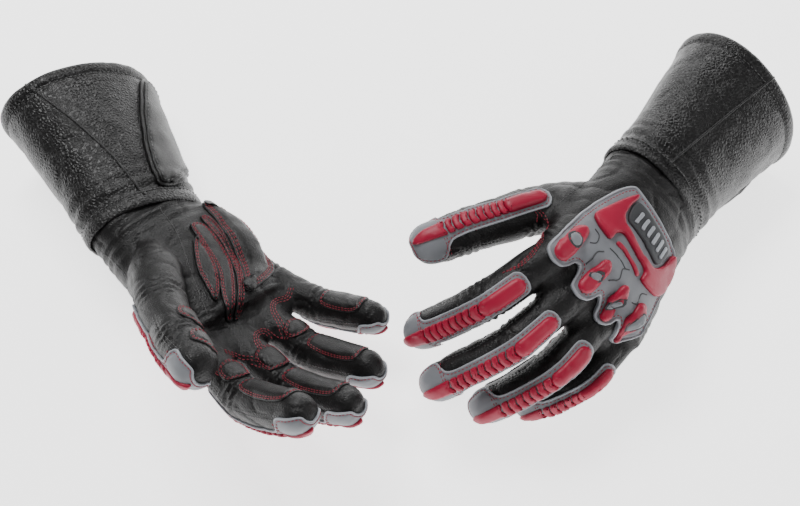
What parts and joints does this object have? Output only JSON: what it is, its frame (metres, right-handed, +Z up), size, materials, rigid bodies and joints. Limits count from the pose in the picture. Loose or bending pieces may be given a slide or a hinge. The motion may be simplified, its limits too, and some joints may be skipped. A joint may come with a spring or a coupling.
{
  "type": "pair of welding gloves",
  "caption": "Pair of long-cuff leather welding gloves with moulded knuckle guards, finger strips, palm patches and a drag patch on each gauntlet.",
  "frame": {"origin": "centre of the bounding box footprint, on the surface the gloves lie on", "axes": "+X along the length of the pair, +Y towards the cuffs, +Z up"},
  "size_m": [0.5394, 0.2933, 0.1153],
  "materials": {
    "leather": "pebbled, satin",
    "leather_patch": "smooth grain, satin",
    "lining": "brushed fleece",
    "grey_rubber": "moulded, matt",
    "red_rubber": "moulded, satin"
  },
  "bodies": {
    "left_cuff": {"left_gauntlet_cuff": "leather", "left_cuff_lining": "lining", "left_gauntlet_drag_patch": "leather_patch"},
    "left_hand": {"left_hand_shell": "leather", "left_knuckle_guard": "grey_rubber", "left_arch_bumper": "red_rubber", "left_index_knuckle_bumper": "red_rubber", "left_middle_knuckle_bumper": "red_rubber", "left_ring_knuckle_bumper": "red_rubber", "left_pinky_knuckle_bumper": "red_rubber", "left_palm_pad": "leather_patch", "left_thenar_patch": "leather_patch"},
    "left_index_finger_root": {"left_index_sleeve": "leather"},
    "left_index_finger_end": {"left_index_tip": "leather", "left_index_strip": "red_rubber"},
    "left_middle_finger_root": {"left_middle_sleeve": "leather"},
    "left_middle_finger_end": {"left_middle_tip": "leather", "left_middle_strip": "red_rubber"},
    "left_ring_finger_root": {"left_ring_sleeve": "leather"},
    "left_ring_finger_end": {"left_ring_tip": "leather", "left_ring_strip": "red_rubber"},
    "left_pinky_finger_root": {"left_pinky_sleeve": "leather"},
    "left_pinky_finger_end": {"left_pinky_tip": "leather", "left_pinky_strip": "red_rubber"},
    "left_thumb_root": {"left_thumb_sleeve": "leather"},
    "left_thumb_end": {"left_thumb_tip": "leather", "left_thumb_strip": "red_rubber"},
    "right_cuff": {"right_gauntlet_cuff": "leather", "right_cuff_lining": "lining", "right_gauntlet_drag_patch": "leather_patch"},
    "right_hand": {"right_hand_shell": "leather", "right_knuckle_guard": "grey_rubber", "right_arch_bumper": "red_rubber", "right_index_knuckle_bumper": "red_rubber", "right_middle_knuckle_bumper": "red_rubber", "right_ring_knuckle_bumper": "red_rubber", "right_pinky_knuckle_bumper": "red_rubber", "right_palm_pad": "leather_patch", "right_thenar_patch": "leather_patch"},
    "right_index_finger_root": {"right_index_sleeve": "leather"},
    "right_index_finger_end": {"right_index_tip": "leather", "right_index_strip": "red_rubber"},
    "right_middle_finger_root": {"right_middle_sleeve": "leather"},
    "right_middle_finger_end": {"right_middle_tip": "leather", "right_middle_strip": "red_rubber"},
    "right_ring_finger_root": {"right_ring_sleeve": "leather"},
    "right_ring_finger_end": {"right_ring_tip": "leather", "right_ring_strip": "red_rubber"},
    "right_pinky_finger_root": {"right_pinky_sleeve": "leather"},
    "right_pinky_finger_end": {"right_pinky_tip": "leather", "right_pinky_strip": "red_rubber"},
    "right_thumb_root": {"right_thumb_sleeve": "leather"},
    "right_thumb_end": {"right_thumb_tip": "leather", "right_thumb_strip": "red_rubber"}
  },
  "joints": [
    {"name": "left_wrist", "type": "hinge", "parent": "left_cuff", "child": "left_hand", "pos_m": [0.1634, 0.0284, 0.056], "axis": [0.5637, -0.5042, -0.6542], "range_deg": [-16, 16]},
    {"name": "left_index_finger_knuckle", "type": "hinge", "parent": "left_hand", "child": "left_index_finger_root", "pos_m": [0.09565, -0.03515, 0.09629], "axis": [0.5543, -0.6131, -0.5629], "range_deg": [-37, 20]},
    {"name": "left_index_finger_middle", "type": "hinge", "parent": "left_index_finger_root", "child": "left_index_finger_end", "pos_m": [0.05203, -0.06189, 0.08247], "axis": [0.5543, -0.6131, -0.5629], "range_deg": [-30, 22]},
    {"name": "left_middle_finger_knuckle", "type": "hinge", "parent": "left_hand", "child": "left_middle_finger_root", "pos_m": [0.11035, -0.04936, 0.08163], "axis": [0.5637, -0.5043, -0.6542], "range_deg": [-29, 20]},
    {"name": "left_middle_finger_middle", "type": "hinge", "parent": "left_middle_finger_root", "child": "left_middle_finger_end", "pos_m": [0.0674, -0.08372, 0.07111], "axis": [0.5637, -0.5043, -0.6542], "range_deg": [-24, 22]},
    {"name": "left_ring_finger_knuckle", "type": "hinge", "parent": "left_hand", "child": "left_ring_finger_root", "pos_m": [0.12677, -0.05608, 0.06239], "axis": [0.585, -0.3942, -0.7088], "range_deg": [-23, 20]},
    {"name": "left_ring_finger_middle", "type": "hinge", "parent": "left_ring_finger_root", "child": "left_ring_finger_end", "pos_m": [0.09271, -0.09174, 0.05411], "axis": [0.585, -0.3942, -0.7088], "range_deg": [-28, 22]},
    {"name": "left_pinky_finger_knuckle", "type": "hinge", "parent": "left_hand", "child": "left_pinky_finger_root", "pos_m": [0.14312, -0.0573, 0.04087], "axis": [0.5834, -0.2458, -0.7741], "range_deg": [-26, 20]},
    {"name": "left_pinky_finger_middle", "type": "hinge", "parent": "left_pinky_finger_root", "child": "left_pinky_finger_end", "pos_m": [0.11664, -0.08675, 0.03027], "axis": [0.5834, -0.2458, -0.7741], "range_deg": [-29, 22]},
    {"name": "left_thumb_knuckle", "type": "hinge", "parent": "left_hand", "child": "left_thumb_root", "pos_m": [0.07806, -0.00281, 0.08461], "axis": [0.366, -0.93, -0.0346], "range_deg": [-17, 10]},
    {"name": "left_thumb_tip", "type": "hinge", "parent": "left_thumb_root", "child": "left_thumb_end", "pos_m": [0.03907, -0.01824, 0.08703], "axis": [0.366, -0.93, -0.0346], "range_deg": [-7, 14]},
    {"name": "right_wrist", "type": "hinge", "parent": "right_cuff", "child": "right_hand", "pos_m": [-0.1681, 0.0194, 0.0358], "axis": [-0.7069, -0.5548, 0.4387], "range_deg": [-16, 16]},
    {"name": "right_index_finger_knuckle", "type": "hinge", "parent": "right_hand", "child": "right_index_finger_root", "pos_m": [-0.1256, -0.07172, 0.04775], "axis": [-0.702, -0.4935, 0.5135], "range_deg": [-6, 20]},
    {"name": "right_index_finger_middle", "type": "hinge", "parent": "right_index_finger_root", "child": "right_index_finger_end", "pos_m": [-0.09222, -0.11235, 0.05435], "axis": [-0.702, -0.4935, 0.5135], "range_deg": [-28, 22]},
    {"name": "right_middle_finger_knuckle", "type": "hinge", "parent": "right_hand", "child": "right_middle_finger_root", "pos_m": [-0.1088, -0.05806, 0.03495], "axis": [-0.6619, -0.6078, 0.4388], "range_deg": [-6, 20]},
    {"name": "right_middle_finger_middle", "type": "hinge", "parent": "right_middle_finger_root", "child": "right_middle_finger_end", "pos_m": [-0.06947, -0.09768, 0.03939], "axis": [-0.6619, -0.6078, 0.4388], "range_deg": [-24, 22]},
    {"name": "right_ring_finger_knuckle", "type": "hinge", "parent": "right_hand", "child": "right_ring_finger_root", "pos_m": [-0.0959, -0.03721, 0.02577], "axis": [-0.5983, -0.7017, 0.3868], "range_deg": [-7, 20]},
    {"name": "right_ring_finger_middle", "type": "hinge", "parent": "right_ring_finger_root", "child": "right_ring_finger_end", "pos_m": [-0.05724, -0.06884, 0.02819], "axis": [-0.5983, -0.7017, 0.3868], "range_deg": [-20, 22]},
    {"name": "right_pinky_finger_knuckle", "type": "hinge", "parent": "right_hand", "child": "right_pinky_finger_root", "pos_m": [-0.08621, -0.01264, 0.01995], "axis": [-0.5137, -0.8055, 0.2953], "range_deg": [-9, 20]},
    {"name": "right_pinky_finger_middle", "type": "hinge", "parent": "right_pinky_finger_root", "child": "right_pinky_finger_end", "pos_m": [-0.05148, -0.03441, 0.021], "axis": [-0.5137, -0.8055, 0.2953], "range_deg": [-20, 22]},
    {"name": "right_thumb_knuckle", "type": "hinge", "parent": "right_hand", "child": "right_thumb_root", "pos_m": [-0.14059, -0.06168, 0.07684], "axis": [-0.4657, 0.1814, 0.8661], "range_deg": [-8, 10]},
    {"name": "right_thumb_tip", "type": "hinge", "parent": "right_thumb_root", "child": "right_thumb_end", "pos_m": [-0.12352, -0.09636, 0.09329], "axis": [-0.4657, 0.1814, 0.8661], "range_deg": [-8, 14]},
    {"name": "right_glove_lift", "type": "slide", "parent": "left_cuff", "child": "right_cuff", "axis": [0, 0, 1], "range_m": [0, 0.3]}
  ]
}
